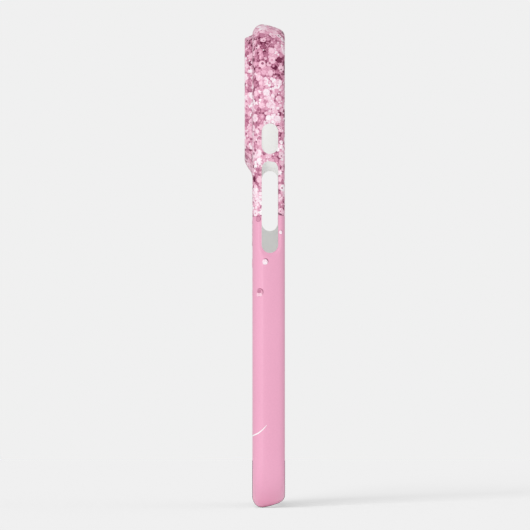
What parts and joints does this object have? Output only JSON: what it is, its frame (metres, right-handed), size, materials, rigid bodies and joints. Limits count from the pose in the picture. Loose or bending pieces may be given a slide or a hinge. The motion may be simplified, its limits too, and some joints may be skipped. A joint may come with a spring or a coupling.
{
  "type": "phone case",
  "caption": "Slim clip-on phone case, printed with rose glitter above and plain pink below, with slots for keys and port and a raised camera guard.",
  "frame": {"origin": "middle of the flat inner face that the phone's back rests on", "axes": "+Z along the length towards the top of the case, +Y out of the back, -Y out of the open screen side, +X towards the side with one slot"},
  "size_m": [0.0774, 0.0127, 0.1518],
  "materials": {
    "white_polycarbonate": "satin moulded white",
    "glitter_print": "gloss print of rose and plum glitter",
    "pink_print": "soft gloss pink print",
    "white_print": "gloss white print",
    "pearl_sequin": "gloss pearl",
    "rose_sequin": "gloss rose"
  },
  "bodies": {
    "root": {"hard_shell": "white_polycarbonate", "glitter_film": "glitter_print", "pink_film": "pink_print", "white_flourish": "white_print", "pearl_sequin_side": "pearl_sequin", "rose_sequin_side": "rose_sequin", "fleck_sequin_side": "pearl_sequin", "rose_sequin_back_left": "rose_sequin", "pearl_sequin_back_left": "pearl_sequin", "rose_sequin_back_mid": "rose_sequin", "fleck_sequin_back_mid": "pearl_sequin", "pearl_sequin_back_right": "pearl_sequin", "rose_sequin_far_side": "rose_sequin"}
  },
  "joints": []
}
